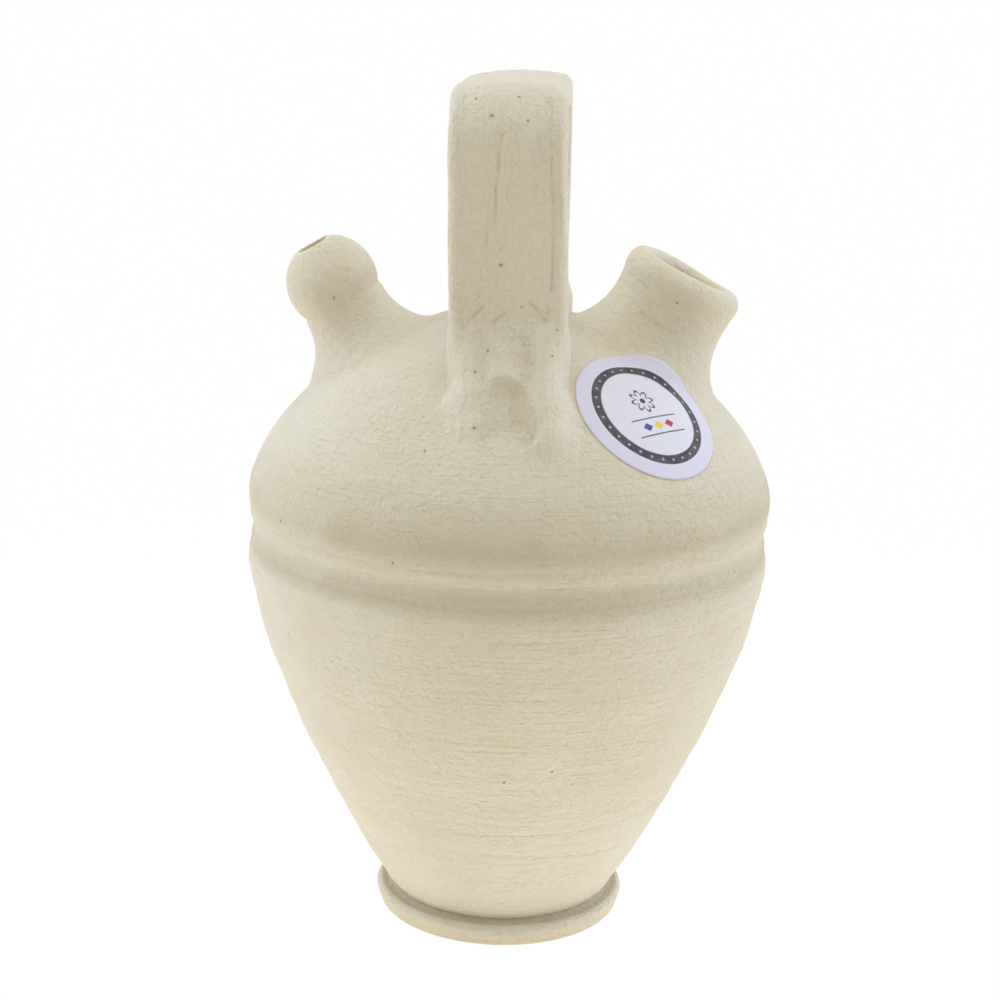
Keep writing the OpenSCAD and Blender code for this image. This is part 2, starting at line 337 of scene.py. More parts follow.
def warp(points, amount, scale):
    """Handmade unevenness of a whole form."""
    shift = [noise(points + offset, scale) for offset in (31, 57, 83)]
    return points + amount * np.column_stack(shift)


def skirt(rad, start):
    """How far a neck's spread is drawn in, so that its far edge sinks into the dome."""
    return SKIRT_SINK * np.maximum(rad - start, 0) ** 2


def spout_outside(points):
    warped = warp(points, 0.45, 15)
    rad, s = along(warped, SPOUT_FOOT, SPOUT_AXIS)
    side = (warped - SPOUT_FOOT) @ np.array([-SPOUT_AXIS[2], 0, SPOUT_AXIS[0]])
    beyond = np.maximum(rad - SPOUT_NECK_R - SPOUT_STEEP_FROM, 0)
    rad = rad + SPOUT_STEEP * soft_step(side, 3, 13) * beyond
    return polygon_distance(rad, s, SPOUT_SHAPE) + skirt(rad, SKIRT_START)


def mouth_outside(points):
    rad, s = along(warp(points, 0.55, 17), MOUTH_FOOT, MOUTH_AXIS)
    return polygon_distance(rad, s, MOUTH_SHAPE) + skirt(rad, SKIRT_START + 4)


def neck_piece(points, outside, foot, axis, reach, bore, lip):
    """A neck blended into the dome, cut off a little under the dome's skin and bored through."""
    body = smooth_min(outside, dome(points) + SINK, BLEND)
    rad, s = along(points, foot, axis)
    solid = np.maximum(body, rad - reach)
    solid = np.maximum(solid, -(dome(points) + UNDER_DOME))
    return smooth_max(solid, -bore(rad, s), lip)


def spout_bore(rad, s, y):
    tip = SPOUT_LEN + BULB_R
    throat = SPOUT_LEN + BULB_R * 0.45
    tube = np.maximum(rad - SPOUT_BORE_R, s - SPOUT_LEN)
    share = np.clip((s - SPOUT_LEN) / (throat - SPOUT_LEN), 0, 1)
    cone_r = SPOUT_BORE_R + (POUR_HOLE_R - SPOUT_BORE_R) * share
    funnel = np.maximum(rad - cone_r, np.abs(s - SPOUT_LEN - 6) - 9)
    hole = rad - POUR_HOLE_R
    level = tip - s + POUR_TILT * y
    dish = np.minimum(np.maximum(rad - POUR_LIP_R, level - POUR_PIT), level - POUR_FLAT)
    return np.minimum(np.minimum(tube, funnel), np.minimum(hole, dish))


def mouth_bore(rad, s):
    lip_r = MOUTH_BORE_R + 3.4 * soft_step(s, MOUTH_LEN + 1.0, MOUTH_LEN + RIM_RISE + 1.5) ** 2
    return rad - lip_r


def spout_piece(points):
    return neck_piece(points, spout_outside(points), SPOUT_FOOT, SPOUT_AXIS, SPOUT_REACH,
                      lambda rad, s: spout_bore(rad, s, points[:, 1]), SPOUT_LIP)


def mouth_piece(points):
    return neck_piece(points, mouth_outside(points), MOUTH_FOOT, MOUTH_AXIS, MOUTH_REACH,
                      mouth_bore, MOUTH_LIP)


# Handle

def lean_back(points):
    """Points as they would be if the strap stood upright."""
    c, s = math.cos(STRAP_LEAN), math.sin(STRAP_LEAN)
    x, y, z = points.T
    z = z - CROWN_Z
    return np.column_stack([x * c + z * s, y, -x * s + z * c + CROWN_Z])


def strap(points):
    """The handle's strap: a flat band with round edges that runs up, over and down."""
    x, y, z = lean_back(warp(points, 0.5, 21)).T
    x = x + REAR_LEG_SHIFT * soft_step(y, 0, 40) * soft_step(STRAP_TOP_Z - z, 15, 75)
    bend = BEND_R - STRAP_T / 2
    corner_y = STRAP_Y - BEND_R
    corner_z = STRAP_TOP_Z - BEND_R
    past_y, past_z = np.abs(y) - corner_y, z - corner_z
    on_top = np.where(past_y < 0, past_z, np.hypot(past_y, past_z))
    out = np.where(past_z < 0, past_y, on_top)
    crown = STRAP_CROWN * (0.5 + 0.5 * soft_step(z, corner_z, STRAP_TOP_Z))
    across = out - bend + crown * (x / (STRAP_W / 2)) ** 2 * np.sign(out - bend)
    edge = STRAP_EDGE_R + (STRAP_SQUARE_R - STRAP_EDGE_R) * soft_step(x, -4, 4)
    qx = np.abs(x) - STRAP_W / 2 + edge
    qt = np.abs(across) - STRAP_T / 2 + edge
    return np.hypot(np.maximum(qx, 0), np.maximum(qt, 0)) + np.minimum(np.maximum(qx, qt), 0) - edge


# Rolls of clay pressed round the foot of the front leg: start, end, radius, width of the joint
ROOT_ROLLS = [((-10.8, -45.0, 202.5), (-8.8, -55.0, 188.5), 6.5, 3),
              ((0, -45.0, 204.0), (0, -58.0, 187.0), 6.7, 3),
              ((10.8, -45.0, 203.0), (11.0, -58.0, 185.5), 6.5, 3),
              ((-8.6, -55.5, 186.5), (-7.6, -60.5, 180.8), 4.4, 5),
              ((9.5, -57.5, 184.0), (13.0, -63.0, 177.8), 5.4, 3)]


def root_clay(points):
    """Clay pressed round the foot of a leg at the front."""
    clay = np.full(len(points), 1e3)
    for start, end, radius, joint in ROOT_ROLLS:
        clay = smooth_min(clay, capsule(points, start, end, radius), joint)
    return clay


def tapered(points, start, start_r, end, end_r):
    """Distance to a round groove that widens from its start to its end."""
    start, run = np.array(start), np.array(end) - np.array(start)
    t = np.clip((points - start) @ run / (run @ run), 0, 1)
    radius = start_r + (end_r - start_r) * t
    return np.linalg.norm(points - start - t[:, None] * run, axis=1) - radius


# The thumb's ball, and the side of the thumb towards the mouth: start, its radius, end, its radius
THUMB_BALL = ((-0.6, -66.6, 193.0), 7.8, (0.2, -74.3, 185.0), 11.6)
THUMB_SIDE = ((3.2, -63.2, 191.5), 4.8, (6.0, -69.0, 182.0), 5.6)


def thumb(points):
    """The thumb's hollow, with a sharper edge towards the mouth."""
    return smooth_min(tapered(points, *THUMB_BALL), tapered(points, *THUMB_SIDE), 1.0)


def root_piece(points, side):
    """A leg's foot with its clay: side is 1 at the front and -1 at the back, which has no thumb mark."""
    p = points * np.array([1, side, 1])
    sunk = ROOT_SINK * soft_step(points[:, 2], 202, 211)
    clay = smooth_min(strap(points) - 0.05 + sunk, root_clay(p), 6)
    clay = smooth_min(clay, dome(points) + SINK, 1.2 + 6.0 * soft_step(-p[:, 1], 48, 57))
    if side > 0:
        clay = smooth_max(clay, -thumb(p), 0.8)
    box_q = np.abs(p - np.array(ROOT_MIDDLE)) - np.array(ROOT_HALF)
    region = np.linalg.norm(np.maximum(box_q, 0), axis=1) + np.minimum(box_q.max(axis=1), 0)
    clay = np.maximum(clay, region)
    return np.maximum(clay, -(dome(points) + UNDER_DOME + 0.5))


# Marks in the clay, found where the photograph shows them

# Pixels of the photograph's frame, 1000 by 1000: small pits left by grit
PIT_PIXELS = [(334, 298), (425, 451), (677, 303), (476, 99), (467, 80), (492, 116), (519, 97),
              (528, 121), (548, 75), (501, 265), (522, 307), (557, 330), (552, 356), (488, 351),
              (475, 372), (474, 428), (281, 521), (393, 563), (739, 627), (288, 633), (722, 560),
              (552, 772), (504, 782), (539, 925)]
# Scratches and creases, as the pixels that they run through
SCRATCH_PIXELS = {
    "strap_middle": [(502, 135), (500, 153), (497, 188), (495, 223)],
    "strap_left": [(488, 230), (486, 246)],
    "strap_right": [(548, 103), (551, 143), (551, 169), (553, 195), (553, 227), (552, 290)],
    "root_cut": [(483, 307), (473, 317), (463, 328)],
    "root_cut_short": [(494, 322), (505, 313)],
    "root_right": [(528, 301), (537, 310), (545, 321)],
    "root_arc": [(502, 339), (510, 338), (520, 337), (529, 340)],
    "root_arc_low": [(522, 344), (532, 347)],
    "rim_crack": [(629, 273), (639, 282), (649, 290)],
    "mouth_scratch": [(640, 313), (657, 325), (674, 335)],
    "groove_chip": [(566, 580), (577, 579)],
}
SCRATCH_DEPTH = 0.50
SCRATCH_HALF = 0.42
IMAGE = 1000


def camera_matrix():
    place = Vector((CAMERA_SIDE * MM, -CAMERA_DISTANCE * MM, CAMERA_HEIGHT * MM))
    turn = Matrix.Rotation(CAMERA_YAW, 4, "Z")
    return (turn @ Matrix.Translation(place) @ Matrix.Rotation(math.pi / 2 - CAMERA_PITCH, 4, "X")
            @ Matrix.Rotation(CAMERA_ROLL, 4, "Z"))


def clay_outside(points):
    """Distance to the outside of the whole jug."""
    z = points[:, 2]
    wall = (np.hypot(points[:, 0], points[:, 1]) - wall_radius(z)) * 0.85
    pot = np.where(z > SHOULDER_Z, dome(points), wall)
    pot = np.minimum(pot, np.minimum(spout_outside(points), mouth_outside(points)))
    return np.minimum(pot, np.minimum(strap(points), root_piece(points, 1)))


def seen_at(pixels):
    """Points of the jug's surface at pixels of the photograph's frame, in millimetres."""
    matrix = np.array(camera_matrix())
    focal = CAMERA_LENS / SENSOR * IMAGE
    pixels = np.array(pixels, float)
    rays = np.column_stack([(pixels[:, 0] - IMAGE / 2) / focal, -(pixels[:, 1] - IMAGE / 2) / focal,
                            -np.ones(len(pixels))]) @ matrix[:3, :3].T
    rays /= np.linalg.norm(rays, axis=1)[:, None]
    points = matrix[:3, 3] / MM + rays * (CAMERA_DISTANCE - 200)
    for _ in range(120):
        points = points + rays * (clay_outside(points) * 0.6)[:, None]
    return points


SCRATCHES = {name: seen_at(pixels) for name, pixels in SCRATCH_PIXELS.items()}
PITS = seen_at(PIT_PIXELS)


def scored(points):
    """Depth of the scratches at each point."""
    total = np.zeros(len(points))
    for line in SCRATCHES.values():
        low, high = line.min(axis=0) - 3, line.max(axis=0) + 3
        near = np.all((points > low) & (points < high), axis=1)
        if not near.any():
            continue
        local = points[near]
        best = np.full(len(local), 1e9)
        for start, end in zip(line[:-1], line[1:]):
            best = np.minimum(best, capsule(local, start, end, 0.0))
        total[near] -= SCRATCH_DEPTH * bell(best, 0, SCRATCH_HALF)
    return total


# Meshes

def new_piece(name, verts, faces, material, node):
    mesh = bpy.data.meshes.new(name)
    mesh.from_pydata((np.asarray(verts) * MM).tolist(), [], faces)
    mesh.validate()
    mesh.polygons.foreach_set("use_smooth", [True] * len(mesh.polygons))
    mesh.materials.append(material)
    piece = bpy.data.objects.new(name, mesh)
    bpy.context.scene.collection.objects.link(piece)
    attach(piece, "root")
    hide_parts(node)
    return piece


def slope_of(shape, points, h=0.05):
    out = np.empty_like(points)
    for axis in range(3):
        step = np.zeros(3)
        step[axis] = h
        out[:, axis] = shape(points + step) - shape(points - step)
    return out / (2 * h)


def in_chunks(shape, points, size=400000):
    return np.concatenate([shape(points[i:i + size]) for i in range(0, len(points), size)])


def skin(shape, low, high, step):
    """Closed mesh of the surface where shape is zero, with one vertex in each cell it crosses."""
    axes = [np.arange(l, h + step, step) for l, h in zip(low, high)]
    grid = np.stack(np.meshgrid(*axes, indexing="ij"), -1)
    size = grid.shape[:3]
    value = in_chunks(shape, grid.reshape(-1, 3)).reshape(size)
    inside = value < 0
    cells = tuple(n - 1 for n in size)

    def corner(array, d):
        return array[d[0]:d[0] + cells[0], d[1]:d[1] + cells[1], d[2]:d[2] + cells[2]]

    corners = [(i, j, k) for i in (0, 1) for j in (0, 1) for k in (0, 1)]
    count = sum(corner(inside, d).astype(int) for d in corners)
    active = (count > 0) & (count < 8)
    index = np.full(cells, -1)
    index[active] = np.arange(active.sum())
    total = np.zeros((active.sum(), 3))
    hits = np.zeros(active.sum())
    base = grid[:-1, :-1, :-1][active]
    for a in corners:
        for axis in range(3):
            if a[axis]:
                continue
            b = tuple(1 if i == axis else a[i] for i in range(3))
            va, vb = corner(value, a)[active], corner(value, b)[active]
            crossed = (va < 0) != (vb < 0)
            t = np.where(crossed, va / np.where(crossed, va - vb, 1), 0)
            point = base + (np.array(a) + t[:, None] * (np.array(b) - np.array(a))) * step
            total[crossed] += point[crossed]
            hits += crossed
    verts = total / hits[:, None]
    for _ in range(3):
        slope = slope_of(shape, verts)
        move = shape(verts)[:, None] * slope / np.maximum((slope ** 2).sum(axis=1), 0.2)[:, None]
        verts -= np.clip(move, -step * 0.5, step * 0.5)
    faces = []
    for axis in range(3):
        u, v = [i for i in range(3) if i != axis]
        first = [slice(1, -1)] * 3
        first[axis] = slice(0, -1)
        second = list(first)
        second[axis] = slice(1, None)
        a, b = inside[tuple(first)], inside[tuple(second)]
        where = np.argwhere(a != b)
        offset = np.array([1, 1, 1])
        offset[axis] = 0
        at = where + offset
        ring = []
        for du, dv in ((1, 1), (0, 1), (0, 0), (1, 0)):
            cell = at.copy()
            cell[:, u] -= du
            cell[:, v] -= dv
            ring.append(index[tuple(cell.T)])
        quad = np.column_stack(ring)
        outward = a[tuple(where.T)]
        flip = outward if axis != 1 else ~outward
        quad[~flip] = quad[~flip][:, ::-1]
        faces.append(quad)
    return verts, np.concatenate(faces).tolist()


def strokes(points):
    """Marks of the fingers that drew the strap out, along its run."""
    x, y, z = points.T
    along_run = np.column_stack([x, y * 0.045, z * 0.045])
    return 0.13 * noise(along_run, 2.6) + 0.10 * noise(along_run + 9, 1.5)


def grown(shape, verts, drawn=None):
    """Vertices moved out along the surface's slope by the handmade unevenness and the marks."""
    slope = slope_of(shape, verts)
    normal = slope / np.maximum(np.linalg.norm(slope, axis=1), 1e-6)[:, None]
    amount = handmade(verts) + scored(verts)
    if drawn is not None:
        amount = amount + strokes(verts) * drawn(verts)
    return verts + normal * amount[:, None]


def revolved(rows, segments):
    """Closed mesh of a profile turned about the axis. A row is radius, height, share of handmade."""
    rows = np.array(rows, float)
    turn = np.linspace(0, 2 * np.pi, segments, endpoint=False)
    ring = np.column_stack([np.cos(turn), np.sin(turn)])
    before = np.roll(rows, 1, axis=0)
    after = np.roll(rows, -1, axis=0)
    before[0], after[-1] = rows[0], rows[-1]
    tangent = after[:, :2] - before[:, :2]
    tangent /= np.maximum(np.linalg.norm(tangent, axis=1), 1e-9)[:, None]
    at_seam = (rows[:, 2] > 0) & (np.abs(rows[:, 1] - SEAM_Z) < 3)
    tangent[at_seam] = (0, 1)
    verts = []
    for (r, z, amount), (tr, tz) in zip(rows, tangent):
        if r < 1e-6:
            verts.append(np.array([[0, 0, z]]))
            continue
        circle = np.column_stack([ring * r, np.full(segments, z)])
        if amount > 0:
            normal = np.column_stack([ring * tz, np.full(segments, -tr)])
            circle = circle + normal * (amount * (handmade(circle) + scored(circle)))[:, None]
        verts.append(circle)
    start = np.cumsum([0] + [len(v) for v in verts])
    faces = []
    j = np.arange(segments)
    k = (j + 1) % segments
    for i in range(len(verts) - 1):
        a, b = start[i], start[i + 1]
        if len(verts[i]) == 1:
            faces += np.column_stack([np.full(segments, a), b + k, b + j]).tolist()
        elif len(verts[i + 1]) == 1:
            faces += np.column_stack([a + j, a + k, np.full(segments, b)]).tolist()
        else:
            faces += np.column_stack([a + j, a + k, b + k, b + j]).tolist()
    return np.concatenate(verts), faces


def inner_radius(z):
    """Radius of the hollow at a height."""
    if z <= SHOULDER_Z:
        down = max(0.0, (BELLY_Z - z) / (BELLY_Z - SOLE_Z))
        steepness = (BELLY_R - SOLE_R) / (BELLY_Z - SOLE_Z) * TAPER_POWER
        slope = math.atan(steepness * down ** (TAPER_POWER - 1))
        return BELLY_R - (BELLY_R - SOLE_R) * down ** TAPER_POWER - WALL / math.cos(slope)
    up = (z - SHOULDER_Z) / (DOME_RISE - WALL)
    return (BELLY_R - WALL) * max(0.0, 1 - up ** DOME_POWER_Z) ** (1 / DOME_POWER_R)


BODY_SEGMENTS = 440
ROW_STEP = 0.75
SEAM_EDGE = 0.04         # height of the narrow row at each side of the joint of the two halves


def lower_rows():
    rows = [(0, FLOOR_UNDER_Z, 0)]
    rows += [(r, FLOOR_UNDER_Z, 0) for r in (8, 16, 24, FOOT_BORE_R - 1.5, FOOT_BORE_R - 0.2)]
    rows += [(FOOT_BORE_R - 0.2, SOLE_Z - 0.5, 0), (SOLE_R - 2.5, SOLE_Z - 0.5, 0)]
    count = int(150 / ROW_STEP)
    for z in [*np.linspace(SOLE_Z - 0.3, SEAM_Z - SEAM_EDGE, count), SEAM_Z]:
        share = min(1.0, max(0.0, (z - SOLE_Z) / 2))
        rows.append((float(wall_radius(max(z, SOLE_Z))), float(z), share))
    for z in np.linspace(SEAM_Z, FLOOR_IN_Z + 3, 14):
        rows.append((inner_radius(z), float(z), 0))
    last = inner_radius(FLOOR_IN_Z + 3)
    rows += [(last - 2, FLOOR_IN_Z + 0.6, 0), (last - 6, FLOOR_IN_Z, 0)]
    rows += [(last / 2, FLOOR_IN_Z, 0), (0, FLOOR_IN_Z, 0)]
    return rows


def upper_rows():
    rows = [(BELLY_R - WALL, SEAM_Z, 0), (BELLY_R - WALL + 2, SEAM_Z, 0)]
    for z in [SEAM_Z, *np.linspace(SEAM_Z + SEAM_EDGE, SHOULDER_Z, int(8 / ROW_STEP) + 1)]:
        rows.append((float(wall_radius(z)), float(z), 1))
    steps = int(112 / ROW_STEP)
    for i in range(1, steps + 1):
        a = math.pi / 2 * i / steps
        rows.append((BELLY_R * max(0, math.cos(a)) ** (2 / DOME_POWER_R) if i < steps else 0,
                     SHOULDER_Z + DOME_RISE * math.sin(a) ** (2 / DOME_POWER_Z), 1))
    for i in range(14):
        a = math.pi / 2 * (1 - i / 14)
        rows.append(((BELLY_R - WALL) * max(0, math.cos(a)) ** (2 / DOME_POWER_R) if i else 0,
                     SHOULDER_Z + (DOME_RISE - WALL) * math.sin(a) ** (2 / DOME_POWER_Z), 0))
    rows.append((BELLY_R - WALL, SHOULDER_Z, 0))
    rows.append((BELLY_R - WALL, SEAM_Z, 0))
    return rows


# Materials

CREAM = (0.755, 0.682, 0.510, 1)
PALE = (0.795, 0.728, 0.572, 1)
STRAW = (0.735, 0.640, 0.425, 1)
BLUSH = (0.785, 0.668, 0.522, 1)
DUST = (0.62, 0.57, 0.44, 1)
# Colour of the painted shade in the rings round the joint
BAND_SHADE = (0.61, 0.525, 0.350, 1)
# Colour of the painted shade in hollows
HOLLOW_SHADE = (0.67, 0.565, 0.345, 1)
PIT_BROWN = (0.30, 0.23, 0.13, 1)
PIT_R = (0.12, 0.56)     # radius of a pit's dark middle, and of its outer edge
PIT_DEPTH = 0.6
# Grain of the clay's skin: lumps to a metre, detail, roughness, strength, depth in millimetres
GRAINS = [(1100, 4, 0.65, 0.7, 0.6), (420, 3, 0.6, 0.7, 1.3)]
PAPER_EDGE = (0.700, 0.665, 0.775, 1)
PAPER_CENTRE = (0.730, 0.715, 0.770, 1)
INK = (0.055, 0.048, 0.060, 1)
BEAD = (0.62, 0.60, 0.66, 1)
BEADS = 28               # beads round the label's ring
PETALS = 8               # petals of the rosette
ROSE_R = 4.6
ROSE_UP = 4.2
LOZENGES = [(0.060, 0.035, 0.300, 1), (0.800, 0.600, 0.010, 1), (0.480, 0.020, 0.010, 1)]
LOZENGE_STEP = 4.6
LOZENGE_HALF = 1.55
LOZENGE_UP = -5.4
RULES_UP = (-2.4, -8.4)
# Rings of painted shade: lower edge, darkest height, upper edge
PAINTED_SHADE_BANDS = [(125.5, 130.5, 136.0), (140.5, 147.0, 166.0)]
GRIT_SCALE = 62.0        # grains of grit to a metre, in the pits spread over the whole jug


def material(name):
    mat = bpy.data.materials.new(name)
    mat.use_nodes = True
    return mat, mat.node_tree.nodes, mat.node_tree.links


def clay_material(name, streaks, streak_depth):
    """Dry clay with the potter's streaks: how squeezed they are on each axis, and their depth."""
    mat, nodes, links = material(name)
    shader = nodes["Principled BSDF"]
    shader.inputs["Roughness"].default_value = 0.88
    shader.inputs["Specular IOR Level"].default_value = 0.22
    place = nodes.new("ShaderNodeTexCoord").outputs["Object"]

    def field(scale, detail=2.0, rough=0.5, stretch=None, shift=(0, 0, 0)):
        coords = place
        if stretch or any(shift):
            mapping = nodes.new("ShaderNodeMapping")
            mapping.inputs["Scale"].default_value = stretch or (1, 1, 1)
            mapping.inputs["Location"].default_value = shift
            links.new(place, mapping.inputs["Vector"])
            coords = mapping.outputs["Vector"]
        tex = nodes.new("ShaderNodeTexNoise")
        tex.inputs["Scale"].default_value = scale
        tex.inputs["Detail"].default_value = detail
        tex.inputs["Roughness"].default_value = rough
        tex.inputs["Distortion"].default_value = 0.5
        links.new(coords, tex.inputs["Vector"])
        return tex.outputs["Fac"]

    def ramp(value, low, high, out_low=0.0, out_high=1.0):
        node = nodes.new("ShaderNodeMapRange")
        node.inputs["From Min"].default_value = low
        node.inputs["From Max"].default_value = high
        node.inputs["To Min"].default_value = out_low
        node.inputs["To Max"].default_value = out_high
        links.new(value, node.inputs["Value"])
        return node.outputs["Result"]

    def blend(base, other, factor):
        node = nodes.new("ShaderNodeMix")
        node.data_type = "RGBA"
        if isinstance(base, tuple):
            node.inputs["A"].default_value = base
        else:
            links.new(base, node.inputs["A"])
        if isinstance(other, tuple):
            node.inputs["B"].default_value = other
        else:
            links.new(other, node.inputs["B"])
        links.new(factor, node.inputs["Factor"])
        return node.outputs["Result"]

    def combine(operation, a, b):
        node = nodes.new("ShaderNodeMath")
        node.operation = operation
        for socket, value in zip(node.inputs, (a, b)):
            if isinstance(value, float):
                socket.default_value = value
            else:
                links.new(value, socket)
        return node.outputs[0]

    clouds = ramp(field(22, 3, 0.55), 0.35, 0.68)
    colour = blend(CREAM, PALE, clouds)
    stains = field(60, 4, 0.6, (1, 1, 3.2), (0.3, 0.1, 0))
    colour = blend(colour, STRAW, ramp(stains, 0.52, 0.78, 0, 0.5))
    flush = field(38, 3, 0.5, None, (0.7, 0.2, 0.4))
    colour = blend(colour, BLUSH, ramp(flush, 0.56, 0.8, 0, 0.5))
    mottle = ramp(field(1500, 2, 0.6), 0.30, 0.42, 0.5, 0)
    colour = blend(colour, DUST, mottle)

    # Two rings of painted shade at the joint
    height = nodes.new("ShaderNodeSeparateXYZ")
    links.new(place, height.inputs[0])
    for low, middle, high in PAINTED_SHADE_BANDS:
        rise = ramp(height.outputs["Z"], low * MM, middle * MM)
        fall = ramp(height.outputs["Z"], middle * MM, high * MM, 1, 0)
        patchy = ramp(field(30, 2), 0.30, 0.55, 0.45, 0.85)
        colour = blend(colour, BAND_SHADE, combine("MULTIPLY", combine("MINIMUM", rise, fall), patchy))

    # Painted shade: hollows found by ambient occlusion are coloured darker and more yellow
    relief = nodes.new("ShaderNodeAmbientOcclusion")
    relief.samples = 4
    relief.inputs["Distance"].default_value = 0.012
    colour = blend(colour, HOLLOW_SHADE, ramp(relief.outputs["AO"], 0.90, 0.45, 0, 0.55))

    def pit_distance():
        nearest = None
        for pit in PITS:
            node = nodes.new("ShaderNodeVectorMath")
            node.operation = "DISTANCE"
            node.inputs[1].default_value = tuple(pit * MM)
            links.new(place, node.inputs[0])
            reach = node.outputs["Value"]
            nearest = reach if nearest is None else combine("MINIMUM", nearest, reach)
        return nearest

    grit = nodes.new("ShaderNodeTexVoronoi")
    grit.inputs["Scale"].default_value = GRIT_SCALE
    links.new(place, grit.inputs["Vector"])
    spread = combine("MULTIPLY", grit.outputs["Distance"], 1.0 / GRIT_SCALE)
    distance = combine("MINIMUM", pit_distance(), combine("MULTIPLY", spread, 1.5))
    pits = ramp(distance, PIT_R[0] * MM, PIT_R[1] * MM, 1, 0)
    colour = blend(colour, PIT_BROWN, combine("MULTIPLY", pits, 0.80))
    links.new(colour, shader.inputs["Base Color"])

    def bump(height, strength, distance, under=None):
        node = nodes.new("ShaderNodeBump")
        node.inputs["Strength"].default_value = strength
        node.inputs["Distance"].default_value = distance
        links.new(height, node.inputs["Height"])
        if under is not None:
            links.new(under, node.inputs["Normal"])
        return node.outputs["Normal"]

    skin_relief = None
    for scale, detail, rough, strength, depth in GRAINS:
        skin_relief = bump(field(scale, detail, rough), strength, depth * MM, skin_relief)
    skin_relief = bump(field(42, 3, 0.6, streaks), 0.8, streak_depth * MM, skin_relief)
    skin_relief = bump(combine("SUBTRACT", 1.0, pits), 0.8, PIT_DEPTH * MM, skin_relief)
    links.new(skin_relief, shader.inputs["Normal"])
    return mat


def label_material():
    """Glossy paper with a plain design of its own: a ring of beads, a rosette and lozenges."""
    mat, nodes, links = material("paper_label")
    shader = nodes["Principled BSDF"]
    shader.inputs["Roughness"].default_value = 0.42
    shader.inputs["Specular IOR Level"].default_value = 0.35
    layout = nodes.new("ShaderNodeUVMap")
    layout.uv_map = "flat"
    split = nodes.new("ShaderNodeSeparateXYZ")
    links.new(layout.outputs["UV"], split.inputs[0])

    def calc(operation, a, b=0.0, c=0.0):
        node = nodes.new("ShaderNodeMath")
        node.operation = operation
        for socket, value in zip(node.inputs, (a, b, c)):
            if isinstance(value, (int, float)):
                socket.default_value = value
            else:
                links.new(value, socket)
        return node.outputs[0]

    def below(value, limit, soft=0.12):
        """1 where value is under limit, 0 above, with a soft printed edge."""
        node = nodes.new("ShaderNodeMapRange")
        node.inputs["To Min"].default_value = 1.0
        node.inputs["To Max"].default_value = 0.0
        links.new(value, node.inputs["Value"])
        for socket, offset in (("From Min", -soft), ("From Max", soft)):
            if isinstance(limit, (int, float)):
                node.inputs[socket].default_value = limit + offset
            else:
                links.new(calc("ADD", limit, offset), node.inputs[socket])
        return node.outputs["Result"]

    def paint(base, colour, mask):
        node = nodes.new("ShaderNodeMix")
        node.data_type = "RGBA"
        if isinstance(base, tuple):
            node.inputs["A"].default_value = base
        else:
            links.new(base, node.inputs["A"])
        node.inputs["B"].default_value = colour
        links.new(mask, node.inputs["Factor"])
        return node.outputs["Result"]

    u = calc("MULTIPLY", calc("SUBTRACT", split.outputs[0], 0.5), LABEL_D)
    v = calc("MULTIPLY", calc("SUBTRACT", split.outputs[1], 0.5), LABEL_D)
    radius = calc("SQRT", calc("ADD", calc("MULTIPLY", u, u), calc("MULTIPLY", v, v)))
    turn = calc("ARCTAN2", v, u)

    ring_out, ring_in = LABEL_D * 0.405, LABEL_D * 0.335
    colour = paint(PAPER_EDGE, PAPER_CENTRE, below(radius, ring_out))
    past_inner = calc("SUBTRACT", 1.0, below(radius, ring_in))
    on_ring = calc("MULTIPLY", below(radius, ring_out - 0.35), past_inner)
    colour = paint(colour, INK, on_ring)

    sector = 2 * math.pi / BEADS
    offset = calc("SUBTRACT", calc("FLOORED_MODULO", turn, sector), sector / 2)
    across = calc("MULTIPLY", offset, (ring_out + ring_in) / 2)
    out = calc("SUBTRACT", radius, (ring_out + ring_in) / 2 - 0.15)
    bead = calc("SQRT", calc("ADD", calc("MULTIPLY", across, across), calc("MULTIPLY", out, out)))
    colour = paint(colour, BEAD, calc("MULTIPLY", below(bead, 0.42), 0.75))

    rose_v = calc("SUBTRACT", v, ROSE_UP)
    rose_r = calc("SQRT", calc("ADD", calc("MULTIPLY", u, u), calc("MULTIPLY", rose_v, rose_v)))
    petals = calc("ABSOLUTE", calc("COSINE", calc("MULTIPLY", calc("ARCTAN2", rose_v, u), PETALS / 2)))
    edge = calc("ADD", calc("MULTIPLY", petals, ROSE_R * 0.45), ROSE_R * 0.55)
    colour = paint(colour, INK, below(rose_r, edge))
    colour = paint(colour, PAPER_CENTRE, below(rose_r, calc("SUBTRACT", edge, 0.85)))
    colour = paint(colour, INK, below(rose_r, ROSE_R * 0.22))

    for place, tint in zip((-LOZENGE_STEP, 0.0, LOZENGE_STEP), LOZENGES):
        side = calc("ABSOLUTE", calc("SUBTRACT", u, place))
        rise = calc("ABSOLUTE", calc("SUBTRACT", v, LOZENGE_UP))
        reach = calc("ADD", calc("MULTIPLY", side, 0.8), rise)
        colour = paint(colour, tint, below(reach, LOZENGE_HALF))
    for up in RULES_UP:
        rule = below(calc("ABSOLUTE", calc("SUBTRACT", v, up)), 0.22)
        colour = paint(colour, INK, calc("MULTIPLY", rule, below(calc("ABSOLUTE", u), 9.5)))

    wear = nodes.new("ShaderNodeTexNoise")
    wear.inputs["Scale"].default_value = 260
    wear.inputs["Detail"].default_value = 3
    place = nodes.new("ShaderNodeTexCoord")
    links.new(place.outputs["Object"], wear.inputs["Vector"])
    fade = calc("MULTIPLY", calc("SUBTRACT", wear.outputs["Fac"], 0.35), 0.22)
    colour = paint(colour, (0.78, 0.75, 0.80, 1), calc("MAXIMUM", fade, 0.0))
    links.new(colour, shader.inputs["Base Color"])
    dent = nodes.new("ShaderNodeBump")
    dent.inputs["Strength"].default_value = 0.25
    dent.inputs["Distance"].default_value = 0.0003
    links.new(wear.outputs["Fac"], dent.inputs["Height"])
    links.new(dent.outputs["Normal"], shader.inputs["Normal"])
    return mat


# The pot's pieces

